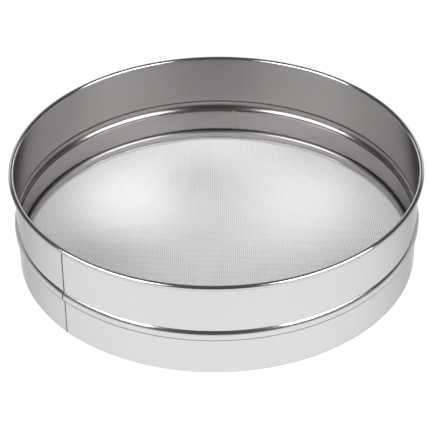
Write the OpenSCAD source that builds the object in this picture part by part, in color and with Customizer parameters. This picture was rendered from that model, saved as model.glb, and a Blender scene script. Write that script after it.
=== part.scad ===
// Round soil sieve: a sheet-steel drum with a wired rim and a bead, a curled foot,
// and a woven wire cloth held down on the foot by a clamp ring and an inner hoop.
// Origin: centre of the drum on the plane that the foot stands on. +Z is up.

/* [Drum] */
// Outside diameter over the rolled rim
rim_d = 300; // [200:1:400]
// Height from the foot to the top of the rolled rim
drum_h = 76; // [60:1:110]
// Thickness of the drum sheet
sheet_t = 0.5; // [0.4:0.05:0.6]
// Outside diameter of the rolled rim's section
rim_roll_d = 3.8; // [3.4:0.1:5]
// Diameter of the core wire in the rolled rim
rim_wire_d = 2.7; // [2:0.1:2.7]
// Outside diameter of the foot curl's section
foot_roll_d = 3.4; // [3:0.1:4.4]
// How much of the foot curl is pressed flat where it stands
foot_flat = 0.1; // [0.05:0.05:0.2]

/* [Bead] */
// Height of the bead's centre line above the foot
bead_z = 32.6; // [32.6:0.1:45]
// Height of the bead, from edge to edge
bead_h = 8.8; // [7:0.1:8.8]
// How far the bead stands out of the wall
bead_out = 1.8; // [1:0.1:2]

/* [Drum seam] */
// Direction of the drum's lap seam, counter-clockwise from +X
seam_angle = 224; // [0:0.1:359]
// Width of the seam line, which the weld fills
seam_gap = 0.4; // [0.3:0.05:0.6]
// Width of the lap behind the seam
lap_w = 9; // [6:0.5:12]

/* [Inner hoop] */
// Thickness of the inner hoop's sheet
hoop_t = 0.7; // [0.5:0.05:0.8]
// Height of the inner hoop's top edge above the foot
hoop_top = 27.5; // [24:0.1:27.5]
// Direction of the inner hoop's butt weld, counter-clockwise from +X
hoop_weld_angle = 84; // [0:1:359]
// Width of the inner hoop's butt weld
hoop_weld_w = 3.6; // [2:0.1:5]

/* [Clamp ring] */
// Width of the clamp ring's section
ring_w = 3; // [2.6:0.1:3.7]
// Height of the clamp ring's crown above the foot
ring_top = 9.6; // [9:0.1:11]
// Direction of the clamp ring's butt weld, counter-clockwise from +X
ring_weld_angle = 262; // [0:1:359]
// Width of the clamp ring's butt weld
ring_weld_w = 1.2; // [0.8:0.1:2]

/* [Wire cloth] */
// Diameter of the cloth's wires
wire_d = 0.42; // [0.3:0.01:0.42]
// Distance from one wire to the next
wire_pitch = 1.5; // [1.2:0.1:5]

/* [Hidden] */
$fn = 192;
section_fn = 64;

steel = [0.80, 0.80, 0.79];
wire_grey = [0.84, 0.84, 0.83];
weld_grey = [0.62, 0.61, 0.60];

// Space left between pieces that lie against each other, and a cut's overrun
seat_gap = 0.02;
slip_gap = 0.1;
over = 1;
// How deep the lap's strip is sunk in the wall that it is joined to
lap_sink = 0.05;

rim_r = rim_d / 2;
rim_roll_r = rim_roll_d / 2;
rim_axis_r = rim_r - rim_roll_r;
rim_axis_z = drum_h - rim_roll_r;
wall_in = rim_r - rim_roll_d;
wall_out = wall_in + sheet_t;

foot_roll_r = foot_roll_d / 2;
foot_axis_r = wall_out - foot_roll_r;
foot_axis_z = foot_roll_r - foot_flat;
foot_top = foot_axis_z + foot_roll_r;

// The bead's outer arc passes through its crest and its two edges on the wall
bead_arc_r = (pow(bead_h / 2, 2) + pow(bead_out, 2)) / (2 * bead_out);
bead_axis_r = wall_out + bead_out - bead_arc_r;

// The rim curl's tip lies against the wall, this far below the horizontal
rim_tip_angle = acos(1 - sheet_t / rim_roll_r) + 0.5;
// The foot curl's tip stops short of the wall, this far above the horizontal
foot_tip_angle = acos(1 - sheet_t / foot_roll_r) + 5;

// The seam line runs from the foot up to the underside of the rolled rim
seam_top = rim_axis_z - rim_roll_r - 0.4;
lap_bottom = hoop_top + 0.4;
lap_top = seam_top - 0.2;

cloth_z = foot_top + seat_gap;
weft_z = cloth_z + wire_d / 2;
warp_z = weft_z + wire_d + seat_gap;
cloth_top = warp_z + wire_d / 2;
cloth_r = wall_in - 0.6;

ring_out = wall_in - 0.3;
ring_axis_r = ring_out - ring_w / 2;
ring_crown_z = ring_top - ring_w / 2;
ring_bottom = cloth_top + seat_gap;

hoop_out = wall_in - slip_gap;
hoop_in = hoop_out - hoop_t;
hoop_edge_r = hoop_t / 2;
// The hoop stands on the clamp ring's crown, which its inner corner meets
hoop_bottom = ring_crown_z + sqrt(pow(ring_w / 2, 2) - pow(hoop_in - ring_axis_r, 2)) + seat_gap;

// Closed ring section: a circle of outer radius r with a bore that leaves wall t
module tube_section(r, t) {
    difference() {
        circle(r, $fn = section_fn);
        circle(r - t, $fn = section_fn);
    }
}

// Pie slice from angle a to angle b, to open a curl where its tip stops
module slice(a, b, r) {
    polygon([[0, 0], [r * cos(a), r * sin(a)], [r * cos((a + b) / 2), r * sin((a + b) / 2)],
             [r * cos(b), r * sin(b)]]);
}

// Plain wall with the bead's bulge outside and its groove inside, at a radial shift
module wall_section(bottom, top, shift = 0) {
    difference() {
        union() {
            translate([wall_in + shift, bottom])
                square([sheet_t, top - bottom]);
            intersection() {
                translate([bead_axis_r + shift, bead_z])
                    circle(bead_arc_r, $fn = 2 * section_fn);
                translate([wall_in + shift, bead_z - bead_h])
                    square([sheet_t + 2 * bead_out, 2 * bead_h]);
            }
        }
        translate([bead_axis_r + shift, bead_z])
            circle(bead_arc_r - sheet_t, $fn = 2 * section_fn);
    }
}

module drum_section() {
    wall_section(foot_axis_z, rim_axis_z);
    translate([rim_axis_r, rim_axis_z])
        difference() {
            tube_section(rim_roll_r, sheet_t);
            slice(180, 180 + rim_tip_angle, 2 * rim_roll_r);
        }
    translate([foot_axis_r, foot_axis_z])
        difference() {
            tube_section(foot_roll_r, sheet_t);
            slice(0, foot_tip_angle, 2 * foot_roll_r);
            translate([-foot_roll_r, -foot_roll_r - over])
                square([foot_roll_d, foot_flat + over]);
        }
}

// Block at the drum's wall, in the direction angle, that cuts a slot or makes its filling
module wall_block(angle, r_in, r_out, width, bottom, top) {
    rotate([0, 0, angle])
        translate([r_in, -width / 2, bottom])
            cube([r_out - r_in, width, top - bottom]);
}

// Full ring between two radii and two heights
module band(r_in, r_out, bottom, top) {
    translate([0, 0, bottom])
        difference() {
            cylinder(r = r_out, h = top - bottom);
            translate([0, 0, -over])
                cylinder(r = r_in, h = top - bottom + 2 * over);
        }
}

// Drum sheet: wired rim, wall, bead and foot curl, with the lap of its two ends
module outer_hoop() {
    color(steel) {
        difference() {
            rotate_extrude()
                drum_section();
            wall_block(seam_angle, foot_axis_r - foot_roll_d, rim_r, seam_gap, -over, seam_top);
        }
        lap_angle = lap_w / wall_in * 180 / PI;
        rotate([0, 0, seam_angle - lap_angle / 2])
            rotate_extrude(angle = lap_angle)
                wall_section(lap_bottom, lap_top, lap_sink - sheet_t);
    }
}

// Weld that fills the seam line between the foot curl and the bead's groove
module outer_hoop_weld() {
    color(weld_grey)
        intersection() {
            wall_block(seam_angle, wall_in - sheet_t, wall_out + over, seam_gap - 2 * seat_gap,
                       foot_top, bead_z - bead_h / 2 - over / 2);
            band(wall_in + seat_gap, wall_out - seat_gap, 0, drum_h);
        }
}

// Core wire in the rolled rim, with its two ends butted
module rim_wire() {
    color(wire_grey)
        difference() {
            rotate_extrude()
                translate([rim_axis_r, rim_axis_z])
                    circle(d = rim_wire_d, $fn = section_fn);
            wall_block(seam_angle + 180, wall_in - over, rim_r + over, seam_gap,
                       rim_axis_z - rim_roll_d, drum_h + over);
        }
}

module hoop_section() {
    translate([hoop_in, hoop_bottom])
        square([hoop_t, hoop_top - hoop_edge_r - hoop_bottom]);
    translate([hoop_in + hoop_edge_r, hoop_top - hoop_edge_r])
        circle(hoop_edge_r, $fn = section_fn);
}

// Inner hoop that stands on the clamp ring and keeps it down
module inner_hoop() {
    color(steel)
        difference() {
            rotate_extrude()
                hoop_section();
            wall_block(hoop_weld_angle, hoop_in - over, hoop_out + over, hoop_weld_w,
                       hoop_bottom - over, hoop_top + over);
        }
}

// Planished butt weld that closes the inner hoop
module inner_hoop_weld() {
    color(weld_grey)
        intersection() {
            wall_block(hoop_weld_angle, hoop_in - over, hoop_out + over,
                       hoop_weld_w - 2 * seat_gap, hoop_bottom, hoop_top - hoop_edge_r);
            band(hoop_in + seat_gap, hoop_out - seat_gap, 0, drum_h);
        }
}

// Inverted U section: a round crown with two legs that press on the cloth
module ring_section() {
    difference() {
        union() {
            translate([ring_axis_r, ring_crown_z])
                circle(ring_w / 2, $fn = section_fn);
            translate([ring_axis_r - ring_w / 2, ring_bottom])
                square([ring_w, ring_crown_z - ring_bottom]);
        }
        translate([ring_axis_r, ring_crown_z])
            circle(ring_w / 2 - sheet_t, $fn = section_fn);
        translate([ring_axis_r - ring_w / 2 + sheet_t, ring_bottom - over])
            square([ring_w - 2 * sheet_t, ring_crown_z - ring_bottom + over]);
    }
}

// Clamp ring that holds the cloth's edge down on the foot curl
module clamp_ring() {
    color(steel)
        difference() {
            rotate_extrude()
                ring_section();
            wall_block(ring_weld_angle, ring_axis_r - ring_w, ring_out + over, ring_weld_w,
                       ring_bottom - over, ring_top + over);
        }
}

// Butt weld that closes the clamp ring
module clamp_ring_weld() {
    color(weld_grey)
        intersection() {
            wall_block(ring_weld_angle, ring_axis_r - ring_w, ring_out + over,
                       ring_weld_w - 2 * seat_gap, ring_bottom, ring_top + over);
            rotate_extrude()
                ring_section();
        }
}

// One layer of parallel wires along X, each cut to its chord of the round cloth
module wire_layer(z) {
    count = floor((cloth_r - wire_pitch) / wire_pitch);
    for (i = [-count : count]) {
        half_chord = sqrt(pow(cloth_r, 2) - pow(i * wire_pitch, 2));
        translate([-half_chord, i * wire_pitch, z])
            rotate([0, 90, 0])
                cylinder(d = wire_d, h = 2 * half_chord, $fn = 16);
    }
}

module warp_wires() {
    color(wire_grey)
        wire_layer(warp_z);
}

module weft_wires() {
    color(wire_grey)
        rotate([0, 0, 90])
            wire_layer(weft_z);
}

outer_hoop();
outer_hoop_weld();
rim_wire();
inner_hoop();
inner_hoop_weld();
clamp_ring();
clamp_ring_weld();
warp_wires();
weft_wires();
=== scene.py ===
import math

import bpy
import numpy as np
from mathutils import Matrix, Vector


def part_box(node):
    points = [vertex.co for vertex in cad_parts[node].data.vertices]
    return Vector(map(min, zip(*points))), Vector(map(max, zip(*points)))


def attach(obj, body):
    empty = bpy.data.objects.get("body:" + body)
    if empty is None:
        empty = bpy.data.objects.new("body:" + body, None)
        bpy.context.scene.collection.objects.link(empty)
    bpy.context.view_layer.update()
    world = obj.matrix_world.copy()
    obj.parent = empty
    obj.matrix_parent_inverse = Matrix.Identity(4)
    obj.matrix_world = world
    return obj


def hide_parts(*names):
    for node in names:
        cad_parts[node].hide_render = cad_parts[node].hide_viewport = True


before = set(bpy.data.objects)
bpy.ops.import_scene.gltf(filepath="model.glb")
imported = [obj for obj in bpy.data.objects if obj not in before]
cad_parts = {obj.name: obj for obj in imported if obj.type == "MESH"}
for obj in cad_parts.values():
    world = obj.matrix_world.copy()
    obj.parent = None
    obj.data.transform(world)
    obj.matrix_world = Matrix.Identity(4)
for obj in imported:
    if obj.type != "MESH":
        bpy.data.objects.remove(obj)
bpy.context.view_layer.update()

MM = 0.001

# Sizes of the sieve in metres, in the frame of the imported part.
RIM_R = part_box("outer_hoop")[1].x
DRUM_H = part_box("outer_hoop")[1].z
SHEET_T = 0.5 * MM
RIM_ROLL_R = 1.9 * MM
RIM_ROLL_TIP = -137.0
RIM_ROLL_STEPS = 25
FOOT_ROLL_R = 1.7 * MM
FOOT_ROLL_TIP = -310.0
FOOT_ROLL_STEPS = 18
FOOT_AXIS_Z = 1.6 * MM
RIM_AXIS_R = RIM_R - RIM_ROLL_R
RIM_AXIS_Z = DRUM_H - RIM_ROLL_R
WALL_R = RIM_AXIS_R - RIM_ROLL_R + 0.5 * SHEET_T
BEAD_Z = 32.6 * MM
BEAD_H = 8.8 * MM
BEAD_OUT = 1.8 * MM
BEAD_ARC_R = (0.25 * BEAD_H ** 2 + BEAD_OUT ** 2) / (2.0 * BEAD_OUT) - 0.5 * SHEET_T
BEAD_AXIS_R = WALL_R + BEAD_OUT - BEAD_ARC_R
BEAD_FILLET_R = 1.0 * MM
# How many points round off the edge that ends a sheet.
TIP_STEPS = 3

# The seam of the drum: a butt joint with a strip behind it.
SEAM_ANGLE = 224.0
SEAM_TOP = DRUM_H - 4.4 * MM
SEAM_GROOVE_W = 1.2 * MM
SEAM_GROOVE_D = 0.42 * MM
SEAM_PEAK = 0.45 * MM
SEAM_PEAK_REACH = 8.0 * MM
STRIP_W = 9.0 * MM
STRIP_LOW = 28.6 * MM
STRIP_HIGH = SEAM_TOP - 0.4 * MM
# How far the seam's dark sheet, painted shade, reaches out and in.
SEAM_SHADE_OUT = 0.16 * MM
SEAM_SHADE_IN = 0.14 * MM
SEAM_WELD_W = 0.3 * MM

# The inner hoop and the clamp ring, with the welds that close them.
HOOP_T = 0.7 * MM
HOOP_WELD_ANGLE = 84.0
HOOP_WELD_W = 3.6 * MM
RING_WELD_ANGLE = 262.0
RING_WELD_W = 1.2 * MM
RING_W = 3.0 * MM
WELD_GAP = 0.03 * MM
# An extra step in degrees at each end of an open band, which keeps its shading even.
END_STEP = 0.008

# The cloth.
WIRE_D = 0.42 * MM
WIRE_PITCH = 1.5 * MM
WIRE_SIDES = 6
CLOTH_R = 145.6 * MM
CLOTH_Z = 0.5 * (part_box("weft_wires")[0].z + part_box("warp_wires")[1].z)
CLOTH_PIECES = 6
CLOTH_WAVE = 0.18 * MM


# Paths in the (r, z) plane of a turned piece.


def arc(centre_r, centre_z, radius, start, end, steps):
    """Points on an arc, from start to end in degrees."""
    turn = np.radians(np.linspace(start, end, steps))
    return np.stack([centre_r + radius * np.cos(turn), centre_z + radius * np.sin(turn)], 1)


def line(start, end, steps):
    """Points on a straight line, both ends included."""
    return np.linspace(start, end, steps)


def joined(*parts):
    """One path from several that meet end to end."""
    return np.concatenate([parts[0]] + [part[1:] for part in parts[1:]])


def normals_of(path):
    """Unit normals on the left of a path."""
    along = np.diff(path, axis=0)
    along /= np.linalg.norm(along, axis=1)[:, None]
    mean = np.concatenate([along[:1], along[:-1] + along[1:], along[-1:]])
    mean /= np.linalg.norm(mean, axis=1)[:, None]
    return np.stack([-mean[:, 1], mean[:, 0]], 1)


def tip(centre, normal, radius):
    """Points of the round edge that ends a sheet, from its left face to its right one."""
    turn = np.linspace(0.0, math.pi, TIP_STEPS + 2)[1:-1, None]
    onward = np.array([normal[1], -normal[0]])
    return centre + radius * (np.cos(turn) * normal + np.sin(turn) * onward)


def skin(path, left, right):
    """The closed outline of a sheet: left and right are the depths of its faces.

    The left face comes first, then the end's edge, the right face and the start's edge.
    """
    side = normals_of(path)
    end = tip(path[-1], side[-1], 0.5 * (left[-1] + right[-1]))
    start = tip(path[0], -side[0], 0.5 * (left[0] + right[0]))
    return np.concatenate(
        [path + side * left[:, None], end, (path - side * right[:, None])[::-1], start]
    )


def section_rows(count):
    """For each point of a skin, the number of the path's point that it belongs to."""
    return np.concatenate([np.arange(count), np.full(TIP_STEPS, count - 1),
                           np.arange(count)[::-1], np.zeros(TIP_STEPS, int)])


# Meshes.


def mesh_object(name, points, faces):
    """A smooth mesh object from points and a list of face arrays, each of one face size."""
    mesh = bpy.data.meshes.new(name)
    loops = np.concatenate([block.ravel() for block in faces]).astype(np.int32)
    sizes = np.concatenate([np.full(len(b), b.shape[1], np.int32) for b in faces])
    starts = np.concatenate([[0], np.cumsum(sizes)[:-1]]).astype(np.int32)
    mesh.vertices.add(len(points))
    mesh.vertices.foreach_set("co", np.ascontiguousarray(points, np.float32).ravel())
    mesh.loops.add(len(loops))
    mesh.loops.foreach_set("vertex_index", loops)
    mesh.polygons.add(len(sizes))
    mesh.polygons.foreach_set("loop_start", starts)
    mesh.polygons.foreach_set("loop_total", sizes)
    mesh.polygons.foreach_set("use_smooth", np.ones(len(sizes), bool))
    mesh.update(calc_edges=True)
    mesh.validate()
    made = bpy.data.objects.new(name, mesh)
    bpy.context.scene.collection.objects.link(made)
    return made


def swept(name, grid, closed):
    """A piece whose outlines, one for each step round the drum, are the rows of grid."""
    turns, count = grid.shape[0], grid.shape[1]
    index = np.arange(turns * count).reshape(turns, count)
    ahead = np.roll(index, -1, 0) if closed else index[1:]
    here = index if closed else index[:-1]
    quads = np.stack(
        [here, ahead, np.roll(ahead, -1, 1), np.roll(here, -1, 1)], 2
    ).reshape(-1, 4)
    faces = [quads]
    if not closed:
        faces += [index[0][None, :], index[-1][None, ::-1]]
    return mesh_object(name, grid.reshape(-1, 3), faces)


def placed(outline, turn):
    """An (r, z) outline stood up at an angle round the drum, in radians."""
    r, z = outline[:, 0], outline[:, 1]
    return np.stack([r * np.cos(turn), r * np.sin(turn), z], 1)


def waviness(turn, z):
    """How far the rolled sheet lies inside its true circle, in metres, always zero or less."""
    wide = 0.5 * np.sin(2 * turn + 0.7) + 0.3 * np.sin(3 * turn + 2.1)
    lobes = 0.20 * np.sin(5 * turn + 4.0) + 0.12 * np.sin(9 * turn + 1.3)
    fine = 0.035 * np.sin(17 * turn + 60 * z) + 0.02 * np.sin(31 * turn - 90 * z + 0.5)
    return 0.07 * MM * (wide + lobes + fine - 1.18)


# The drum.


def drum_path():
    """The middle of the drum's sheet, from the tip of the rim's curl to the tip of the foot's."""
    reach = BEAD_ARC_R + BEAD_FILLET_R
    out = WALL_R + BEAD_FILLET_R - BEAD_AXIS_R
    rise = math.sqrt(reach * reach - out * out)
    lean = math.degrees(math.atan2(rise, out))
    fillet_r = WALL_R + BEAD_FILLET_R
    high, low = BEAD_Z + rise, BEAD_Z - rise
    rim = arc(RIM_AXIS_R, RIM_AXIS_Z, RIM_ROLL_R - 0.5 * SHEET_T, RIM_ROLL_TIP, 180.0,
              RIM_ROLL_STEPS)
    foot = arc(WALL_R + 0.5 * SHEET_T - FOOT_ROLL_R, FOOT_AXIS_Z,
               FOOT_ROLL_R - 0.5 * SHEET_T, 0.0, FOOT_ROLL_TIP, FOOT_ROLL_STEPS)
    return joined(
        rim,
        line(rim[-1], (WALL_R, SEAM_TOP + 0.2 * MM), 3),
        line((WALL_R, SEAM_TOP + 0.2 * MM), (WALL_R, SEAM_TOP), 2),
        line((WALL_R, SEAM_TOP), (WALL_R, high), 10),
        arc(fillet_r, high, BEAD_FILLET_R, 180.0, 180.0 + lean, 4),
        arc(BEAD_AXIS_R, BEAD_Z, BEAD_ARC_R, lean, -lean, 12),
        arc(fillet_r, low, BEAD_FILLET_R, 180.0 - lean, 180.0, 4),
        line((WALL_R, low), foot[0], 7),
        foot,
    )


def drum_turns():
    """Steps round the drum, closer together at the edges of the seam and of its strip."""
    even = np.linspace(0.0, 2 * math.pi, 561)[:-1]
    side = np.array([0.58, 0.62, 0.8, 1.2, 2.4, 4.4, 4.5, 4.6])
    near = np.concatenate([-side[::-1], [0.0], side]) * MM / WALL_R
    seam = math.radians(SEAM_ANGLE)
    clear = np.abs(even - seam) > 4.9 * MM / WALL_R
    return np.sort(np.concatenate([even[clear], seam + near]))


def seam_peak(away, z):
    """How far the sheet stands out near the seam, where the rolled ends stay a little flat."""
    below_rim = np.clip((RIM_AXIS_Z - z) / (12 * MM), 0.0, 1.0)
    return SEAM_PEAK * math.exp(-abs(away) / SEAM_PEAK_REACH) * below_rim


def drum_sheet():
    """The outer hoop: rolled rim, wall with its bead, rolled foot and the seam.

    Its second material is for the inner face of the wall: rougher, and darker in colour as
    painted shade.
    """
    path = drum_path()
    z = path[:, 1]
    seamed = (z <= SEAM_TOP).astype(float)
    stripped = ((z >= STRIP_LOW) & (z <= STRIP_HIGH)).astype(float)
    half = 0.5 * SHEET_T
    grid = []
    for turn in drum_turns():
        away = (turn - math.radians(SEAM_ANGLE) + math.pi) % (2 * math.pi) - math.pi
        away *= WALL_R
        groove = SEAM_GROOVE_D * (abs(away) < 0.5 * SEAM_GROOVE_W) * seamed
        strip = SHEET_T * (abs(away) < 0.5 * STRIP_W) * stripped
        outline = skin(path, half - groove, half + strip)
        peak = seam_peak(away, z[section_rows(len(path))])
        outline[:, 0] += waviness(turn, outline[:, 1]) + peak
        outline[:, 1] = np.maximum(outline[:, 1], 0.0)
        grid.append(placed(outline, turn))
    sheet = swept("outer_hoop_sheet", np.array(grid), True)
    # The inner face of the wall, but not the rim's roll, takes the darker steel: painted shade.
    place = np.arange(len(sheet.data.polygons)) % len(outline)
    inside = (place >= len(path)) & (place < 2 * len(path) + TIP_STEPS - RIM_ROLL_STEPS)
    sheet.data.polygons.foreach_set("material_index", inside.astype(np.int32))
    return sheet


def seam_line():
    """A dark sheet at the bottom of the drum's seam, from the foot to under the rim: painted
    shade in the seam's gap.
    """
    path = drum_path()
    path = path[path[:, 1] <= SEAM_TOP][:-(FOOT_ROLL_STEPS // 2)]
    outline = skin(path, np.full(len(path), SEAM_SHADE_OUT), np.full(len(path), SEAM_SHADE_IN))
    outline[:, 0] += seam_peak(0.0, outline[:, 1])
    outline[:, 1] = np.maximum(outline[:, 1], 0.0)
    start, end = gap_angles(SEAM_ANGLE, SEAM_GROOVE_W - 0.1 * MM, WALL_R)
    return band("outer_hoop_seam_line", outline, start, end, 2)


def band(name, outline, start, end, steps, ripple=0.0):
    """A turned piece between two angles in degrees; it closes on itself if they differ by 360."""
    closed = abs(end - start - 360.0) < 1e-9
    turns = np.linspace(start, end, steps + 1)
    if closed:
        turns = turns[:-1]
    else:
        turns = np.sort(np.append(turns, [start + END_STEP, end - END_STEP]))
    turns = np.radians(turns)
    grid = []
    for number, turn in enumerate(turns):
        ring = outline.copy()
        ring[:, 0] += waviness(turn, ring[:, 1])
        ring[:, 0] += ripple * np.sin(2.4 * ring[:, 1] / MM + 1.7 * number)
        grid.append(placed(ring, turn))
    return swept(name, np.array(grid), closed)


def flat_skin(path, thickness):
    """The outline of an even sheet along the path."""
    half = np.full(len(path), 0.5 * thickness)
    return skin(path, half, half)


def gap_angles(centre, width, radius):
    """The angles at the two sides of a joint of that width."""
    half = math.degrees(0.5 * width / radius)
    return centre - half, centre + half


def rim_wire():
    """The stiffening wire inside the rim's roll."""
    radius = 0.5 * (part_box("rim_wire")[1].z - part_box("rim_wire")[0].z)
    outline = arc(RIM_AXIS_R, RIM_AXIS_Z, radius, 0.0, -360.0, 17)[:-1]
    return band("rim_wire_core", outline, 0.0, 360.0, 360)


def inner_hoop_outline():
    """The inner hoop's section, an upright strip with round edges."""
    low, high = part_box("inner_hoop")
    middle = high.x - 0.5 * HOOP_T
    path = line((middle, high.z - 0.5 * HOOP_T), (middle, low.z + 0.5 * HOOP_T), 12)
    return flat_skin(path, HOOP_T)


def clamp_ring_outline():
    """The clamp ring's section, an upturned channel with a round crown."""
    low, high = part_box("clamp_ring")
    half_w = 0.5 * RING_W
    axis_r = high.x - half_w
    crown_z = high.z - half_w
    reach = half_w - 0.5 * SHEET_T
    foot_z = low.z + 0.5 * SHEET_T
    path = joined(
        line((axis_r - reach, foot_z), (axis_r - reach, crown_z), 6),
        arc(axis_r, crown_z, reach, 180.0, 0.0, 14),
        line((axis_r + reach, crown_z), (axis_r + reach, foot_z), 6),
    )
    return flat_skin(path, SHEET_T)


def inner_hoop():
    """The inner hoop and the weld that closes it."""
    outline = inner_hoop_outline()
    radius = outline[:, 0].mean()
    start, end = gap_angles(HOOP_WELD_ANGLE, HOOP_WELD_W, radius)
    gap = math.degrees(WELD_GAP / radius)
    hoop = band("inner_hoop_band", outline, end, start + 360.0, 600)
    weld = band("inner_hoop_weld_strip", outline, start + gap, end - gap, 12, 0.002 * MM)
    return hoop, weld


def clamp_ring():
    """The clamp ring and the weld that closes it."""
    outline = clamp_ring_outline()
    radius = outline[:, 0].mean()
    start, end = gap_angles(RING_WELD_ANGLE, RING_WELD_W, radius)
    ring = band("clamp_ring_channel", outline, end, start + 360.0, 600)
    weld = band("clamp_ring_weld_bead", outline, start, end, 6, 0.04 * MM)
    return ring, weld


def seam_weld():
    """The weld that fills the lower part of the drum's seam from the inside."""
    low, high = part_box("outer_hoop_weld")
    path = line((WALL_R, high.z), (WALL_R, low.z), 30)
    outline = flat_skin(path, 0.8 * SHEET_T)
    outline[:, 0] += seam_peak(0.0, outline[:, 1])
    start, end = gap_angles(SEAM_ANGLE, SEAM_WELD_W, WALL_R)
    return band("outer_hoop_weld_bead", outline, start, end, 2, 0.02 * MM)


# The woven cloth.


def cloth_height(x, y):
    """The gentle rise and fall of the stretched cloth, in metres."""
    wide = np.sin(38 * x + 1.1) * np.cos(31 * y + 0.4) + 0.6 * np.sin(61 * x - 47 * y + 2.0)
    small = 0.35 * np.sin(120 * x + 70 * y) + 0.25 * np.cos(150 * y - 40 * x + 0.8)
    edge = np.clip(1.0 - (x * x + y * y) / CLOTH_R ** 2, 0.0, 1.0)
    return CLOTH_WAVE * (wide + small) * np.sqrt(edge)


def wire(number, across, sign):
    """Steps along one wire and its rise and fall there; across is its place in the cloth."""
    half = math.sqrt(max(CLOTH_R ** 2 - across ** 2, 0.0)) - 0.3 * MM
    steps = int(half / (0.5 * WIRE_PITCH))
    stations = np.arange(-steps, steps + 1)
    along = stations * 0.5 * WIRE_PITCH
    crimp = 0.5 * WIRE_D * np.cos(0.5 * math.pi * stations + math.pi * number) * sign
    return along, crimp


def cloth_piece(name, numbers, along_x):
    """Some of the wires that run one way, as one piece."""
    turn = 2 * math.pi * (np.arange(WIRE_SIDES) + 0.5) / WIRE_SIDES
    points, quads, caps = [], [], []
    base = 0
    for number in numbers:
        across = number * WIRE_PITCH
        along, crimp = wire(number, across, 1.0 if along_x else -1.0)
        slope = np.gradient(crimp, along)
        lean = 1.0 / np.sqrt(1.0 + slope * slope)
        ring_side = 0.5 * WIRE_D * np.cos(turn)
        ring_up = 0.5 * WIRE_D * np.sin(turn)
        forward = along[:, None] - (slope * lean)[:, None] * ring_up
        side = across + np.zeros(len(along))[:, None] + ring_side
        up = crimp[:, None] + lean[:, None] * ring_up
        x, y = (forward, side) if along_x else (side, forward)
        here = (along, across + 0 * along) if along_x else (across + 0 * along, along)
        up = up + CLOTH_Z + cloth_height(*here)[:, None]
        points.append(np.stack([x, y, up], 2).reshape(-1, 3))
        index = base + np.arange(len(along) * WIRE_SIDES).reshape(-1, WIRE_SIDES)
        quad = np.stack([index[:-1], index[1:], np.roll(index[1:], -1, 1),
                         np.roll(index[:-1], -1, 1)], 2).reshape(-1, 4)
        first, last = index[0][None, :], index[-1][None, ::-1]
        if not along_x:
            quad, first, last = quad[:, ::-1], first[:, ::-1], last[:, ::-1]
        quads.append(quad[:, ::-1])
        caps += [first[:, ::-1], last[:, ::-1]]
        base += index.size
    return mesh_object(name, np.concatenate(points), [np.concatenate(quads)] + caps)


def cloth():
    """All the wires, in a few pieces each way."""
    count = int((CLOTH_R - 1.2 * MM) / WIRE_PITCH)
    numbers = np.arange(-count, count + 1)
    made = {}
    for word, along_x in (("warp", True), ("weft", False)):
        groups = np.array_split(numbers, CLOTH_PIECES)
        made[word] = [
            cloth_piece(f"{word}_wires_{place}", group, along_x)
            for place, group in enumerate(groups, 1)
        ]
    return made


# Materials.

# How strongly highlights stretch along the rolling grain, and how bright the steel stays when
# it is seen at a low angle.
ROLLING_GRAIN = 0.6
EDGE_TINT = 0.58
RELIEF_DEPTH = 0.02 * MM


def steel(name, colour, rough, spread, grain, bump):
    """Stainless steel with a fine uneven finish; grain sets how fine."""
    material = bpy.data.materials.new(name)
    material.use_nodes = True
    nodes, links = material.node_tree.nodes, material.node_tree.links
    shader = nodes["Principled BSDF"]
    shader.inputs["Metallic"].default_value = 1.0
    place = nodes.new("ShaderNodeTexCoord")
    cloudy = nodes.new("ShaderNodeTexNoise")
    cloudy.inputs["Scale"].default_value = grain
    cloudy.inputs["Detail"].default_value = 6.0
    links.new(place.outputs["Object"], cloudy.inputs["Vector"])
    ramp = nodes.new("ShaderNodeMapRange")
    ramp.interpolation_type = "SMOOTHSTEP"
    ramp.inputs["From Min"].default_value = 0.2
    ramp.inputs["From Max"].default_value = 0.8
    ramp.inputs["To Min"].default_value = rough - spread
    ramp.inputs["To Max"].default_value = rough + spread
    links.new(cloudy.outputs["Fac"], ramp.inputs["Value"])
    links.new(ramp.outputs["Result"], shader.inputs["Roughness"])
    tint = nodes.new("ShaderNodeMix")
    tint.data_type = "RGBA"
    tint.inputs["A"].default_value = (*[0.94 * c for c in colour], 1.0)
    tint.inputs["B"].default_value = (*colour, 1.0)
    links.new(cloudy.outputs["Fac"], tint.inputs["Factor"])
    links.new(tint.outputs["Result"], shader.inputs["Base Color"])
    fine = nodes.new("ShaderNodeTexNoise")
    fine.inputs["Scale"].default_value = 30.0 * grain
    fine.inputs["Detail"].default_value = 3.0
    links.new(place.outputs["Object"], fine.inputs["Vector"])
    relief = nodes.new("ShaderNodeBump")
    relief.inputs["Strength"].default_value = bump
    relief.inputs["Distance"].default_value = RELIEF_DEPTH
    links.new(fine.outputs["Fac"], relief.inputs["Height"])
    links.new(relief.outputs["Normal"], shader.inputs["Normal"])
    shader.inputs["Specular Tint"].default_value = (EDGE_TINT, EDGE_TINT, EDGE_TINT, 1.0)
    round_the_drum = nodes.new("ShaderNodeTangent")
    round_the_drum.direction_type = "RADIAL"
    round_the_drum.axis = "Z"
    links.new(round_the_drum.outputs["Tangent"], shader.inputs["Tangent"])
    shader.inputs["Anisotropic"].default_value = ROLLING_GRAIN
    shader.inputs["Anisotropic Rotation"].default_value = 0.25
    return material


def plain_steel(name, colour, rough):
    """Stainless wire, one even finish."""
    material = bpy.data.materials.new(name)
    material.use_nodes = True
    shader = material.node_tree.nodes["Principled BSDF"]
    shader.inputs["Metallic"].default_value = 1.0
    shader.inputs["Base Color"].default_value = (*colour, 1.0)
    shader.inputs["Roughness"].default_value = rough
    return material


def dress(piece, material, slot, *nodes):
    """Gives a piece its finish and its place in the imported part."""
    piece.data.materials.append(material)
    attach(piece, "root")
    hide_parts(*nodes)


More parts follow.
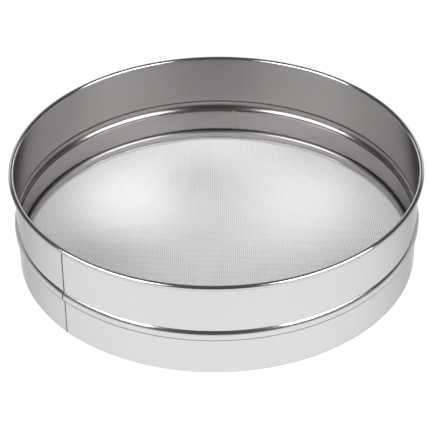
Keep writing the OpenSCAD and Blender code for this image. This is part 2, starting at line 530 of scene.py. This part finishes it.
def build_sieve():
    """Every piece of the sieve."""
    drum_steel = steel("drum_steel", (0.65, 0.655, 0.66), 0.16, 0.02, 20.0, 0.10)
    # The wall's inner face is a darker copy of the drum's steel: painted shade inside the drum.
    inner_painted_shade_steel = steel("inner_painted_shade_steel", (0.315, 0.30, 0.295), 0.24, 0.03, 20.0, 0.10)
    # The hoop, the clamp ring and the welds inside the drum are darker copies of the steel too:
    # painted shade.
    hoop_steel = steel("hoop_steel", (0.345, 0.33, 0.325), 0.24, 0.03, 25.0, 0.10)
    ring_painted_shade_steel = steel("ring_painted_shade_steel", (0.46, 0.445, 0.44), 0.34, 0.04, 30.0, 0.12)
    weld_steel = steel("weld_steel", (0.365, 0.35, 0.345), 0.30, 0.04, 60.0, 0.10)
    wire_steel = plain_steel("wire_steel", (0.78, 0.78, 0.785), 0.30)
    core_steel = plain_steel("core_steel", (0.55, 0.54, 0.53), 0.35)
    # Near black, for the painted shade in the drum's seam.
    seam_shade = plain_steel("seam_painted_shade", (0.06, 0.055, 0.05), 0.6)
    drum = drum_sheet()
    dress(drum, drum_steel, "drum_steel", "outer_hoop")
    drum.data.materials.append(inner_painted_shade_steel)
    dress(seam_line(), seam_shade, "drum_steel", "outer_hoop")
    dress(seam_weld(), weld_steel, "weld_steel", "outer_hoop_weld")
    dress(rim_wire(), core_steel, "wire_steel", "rim_wire")
    hoop, hoop_weld = inner_hoop()
    dress(hoop, hoop_steel, "hoop_steel", "inner_hoop")
    dress(hoop_weld, weld_steel, "weld_steel", "inner_hoop_weld")
    ring, ring_weld = clamp_ring()
    dress(ring, ring_painted_shade_steel, "hoop_steel", "clamp_ring")
    dress(ring_weld, weld_steel, "weld_steel", "clamp_ring_weld")
    for word, pieces in cloth().items():
        for piece in pieces:
            dress(piece, wire_steel, "wire_steel", f"{word}_wires")


# The studio.

TABLE_LOW = (-0.215, -0.45, 0.0)
TABLE_HIGH = (0.22, 0.70, 0.0)
TABLE_STEPS = 96
# The paper under the sieve glows unevenly, painted light and shade for the cloth above it: a base
# and round spots of (x, y, radius, strength).
# A strength above zero makes a painted pool of light; a strength below zero makes a dim spot of
# painted shade.
PAPER_GLOW = 0.33
PAPER_LIGHT_AND_SHADE_SPOTS = [
    (-0.070, 0.065, 0.09, 0.46),
    (0.070, 0.050, 0.10, 0.35),
    (0.000, 0.135, 0.09, 0.31),
    (-0.018, 0.088, 0.05, -0.20),
    (-0.085, -0.015, 0.06, -0.10),
]
WALL_SIDE = 1.6
WALL_Y = 1.6
WALL_TOP = 1.0
FLOOR_SIDE = 4.0
FLOOR_Z = -0.001
# The two soft boxes stand left and right of the front, turned towards the sieve.
LAMP_SIDE = 0.69
LAMP_FRONT = -0.42
LAMP_UP = 0.62
LAMP_DISTANCE = 1.5
LAMP_WIDTH = 1.2
LAMP_HEIGHT = 0.85
LAMP_RADIANCE = 6.6


def emitter(name, shade, strength):
    """A white material that gives off an even light and also takes some."""
    material = bpy.data.materials.new(name)
    material.use_nodes = True
    shader = material.node_tree.nodes["Principled BSDF"]
    shader.inputs["Base Color"].default_value = (shade, shade, shade, 1.0)
    shader.inputs["Roughness"].default_value = 0.9
    shader.inputs["Specular IOR Level"].default_value = 0.0
    shader.inputs["Emission Color"].default_value = (1.0, 1.0, 1.0, 1.0)
    shader.inputs["Emission Strength"].default_value = strength
    return material


def glow_spots(material, base, spots):
    """Makes a material's glow uneven: soft round spots, each (x, y, radius, strength)."""
    nodes, links = material.node_tree.nodes, material.node_tree.links
    place = nodes.new("ShaderNodeTexCoord")
    total = nodes.new("ShaderNodeValue")
    total.outputs["Value"].default_value = base
    glow = total.outputs["Value"]
    for x, y, radius, strength in spots:
        local = nodes.new("ShaderNodeMapping")
        local.vector_type = "TEXTURE"
        local.inputs["Location"].default_value = (x, y, 0.0)
        local.inputs["Scale"].default_value = (radius, radius, radius)
        links.new(place.outputs["Object"], local.inputs["Vector"])
        spot = nodes.new("ShaderNodeTexGradient")
        spot.gradient_type = "SPHERICAL"
        links.new(local.outputs["Vector"], spot.inputs["Vector"])
        soft = nodes.new("ShaderNodeMapRange")
        soft.interpolation_type = "SMOOTHSTEP"
        soft.inputs["To Max"].default_value = strength
        links.new(spot.outputs["Fac"], soft.inputs["Value"])
        add = nodes.new("ShaderNodeMath")
        links.new(glow, add.inputs[0])
        links.new(soft.outputs["Result"], add.inputs[1])
        glow = add.outputs["Value"]
    links.new(glow, nodes["Principled BSDF"].inputs["Emission Strength"])


def table_top(lit, glowing_paper):
    """The lit table, with a round paper where the sieve stands, whose uneven glow paints light
    and shade on the cloth.
    """
    turn = np.linspace(0.0, 2 * math.pi, TABLE_STEPS + 1)[:-1]
    circle = np.stack([np.cos(turn), np.sin(turn), 0 * turn], 1)
    under = WALL_R - FOOT_ROLL_R
    outer = np.clip(circle * 8.0, TABLE_LOW, TABLE_HIGH)
    points = np.concatenate([circle * under, outer])
    index = np.arange(TABLE_STEPS)
    onward = np.roll(index, -1)
    ring = np.stack([index, index + TABLE_STEPS, onward + TABLE_STEPS, onward], 1)
    table = mesh_object("table", points, [ring])
    table.data.materials.append(lit)
    paper = mesh_object("paper", circle * under, [index[None, :]])
    paper.data.materials.append(glowing_paper)


def backdrop(name, corners, material):
    """A flat stage piece with these four corners."""
    made = mesh_object(name, np.array(corners, float), [np.arange(4)[None, :]])
    made.data.materials.append(material)


def soft_box(name, side):
    """A rectangular light that faces the sieve, on the left for side -1 and the right for 1."""
    lamp = bpy.data.lights.new(name, "AREA")
    lamp.shape = "RECTANGLE"
    lamp.size = LAMP_WIDTH
    lamp.size_y = LAMP_HEIGHT
    lamp.energy = LAMP_RADIANCE * math.pi * LAMP_WIDTH * LAMP_HEIGHT
    place = bpy.data.objects.new(name, lamp)
    toward = Vector((side * LAMP_SIDE, LAMP_FRONT, LAMP_UP)).normalized()
    place.location = toward * LAMP_DISTANCE
    place.rotation_euler = toward.to_track_quat("Z", "Y").to_euler()
    bpy.context.scene.collection.objects.link(place)


def studio():
    """A lit white sheet on a pale floor, a pale wall, two soft boxes and a dim room."""
    table = emitter("table_white", 0.20, 0.88)
    paper = emitter("paper_white", 0.8, 0.0)
    # Painted light and shade: the paper glows brighter and dimmer in round spots under the cloth.
    glow_spots(paper, PAPER_GLOW, PAPER_LIGHT_AND_SHADE_SPOTS)
    table_top(table, paper)
    wall = [(-WALL_SIDE, WALL_Y, FLOOR_Z), (WALL_SIDE, WALL_Y, FLOOR_Z),
            (WALL_SIDE, WALL_Y, WALL_TOP), (-WALL_SIDE, WALL_Y, WALL_TOP)]
    backdrop("wall_behind", wall, table)
    floor = [(-FLOOR_SIDE, -FLOOR_SIDE, FLOOR_Z), (FLOOR_SIDE, -FLOOR_SIDE, FLOOR_Z),
             (FLOOR_SIDE, WALL_Y, FLOOR_Z), (-FLOOR_SIDE, WALL_Y, FLOOR_Z)]
    backdrop("pale_floor", floor, emitter("floor_white", 0.30, 0.30))
    soft_box("soft_box_left", -1)
    soft_box("soft_box_right", 1)
    world = bpy.data.worlds.new("dim_room")
    world.use_nodes = True
    world.node_tree.nodes["Background"].inputs["Color"].default_value = (0.10, 0.093, 0.09, 1.0)
    bpy.context.scene.world = world


CAMERA_DISTANCE = 1.302
CAMERA_ELEVATION = 36.51
CAMERA_ROLL = -0.65
CAMERA_LENS = 145.5
CAMERA_AIM = Vector((-0.0013, 0.0, 0.0276))


def camera():
    """The camera, level with the front of the sieve and looking down on it."""
    rise = math.radians(CAMERA_ELEVATION)
    data = bpy.data.cameras.new("camera")
    data.lens = CAMERA_LENS
    data.sensor_width = 36.0
    data.clip_end = 20.0
    place = bpy.data.objects.new("camera", data)
    spot = Vector((0.0, -CAMERA_DISTANCE * math.cos(rise), CAMERA_DISTANCE * math.sin(rise)))
    back = (spot - CAMERA_AIM).normalized()
    right = Vector((0.0, 0.0, 1.0)).cross(back).normalized()
    up = back.cross(right)
    turn = Matrix((right, up, back)).transposed().to_4x4()
    turn = turn @ Matrix.Rotation(math.radians(CAMERA_ROLL), 4, "Z")
    place.matrix_world = Matrix.Translation(spot) @ turn
    bpy.context.scene.collection.objects.link(place)
    bpy.context.scene.camera = place


build_sieve()
studio()
camera()
bpy.context.scene.view_settings.view_transform = "Standard"
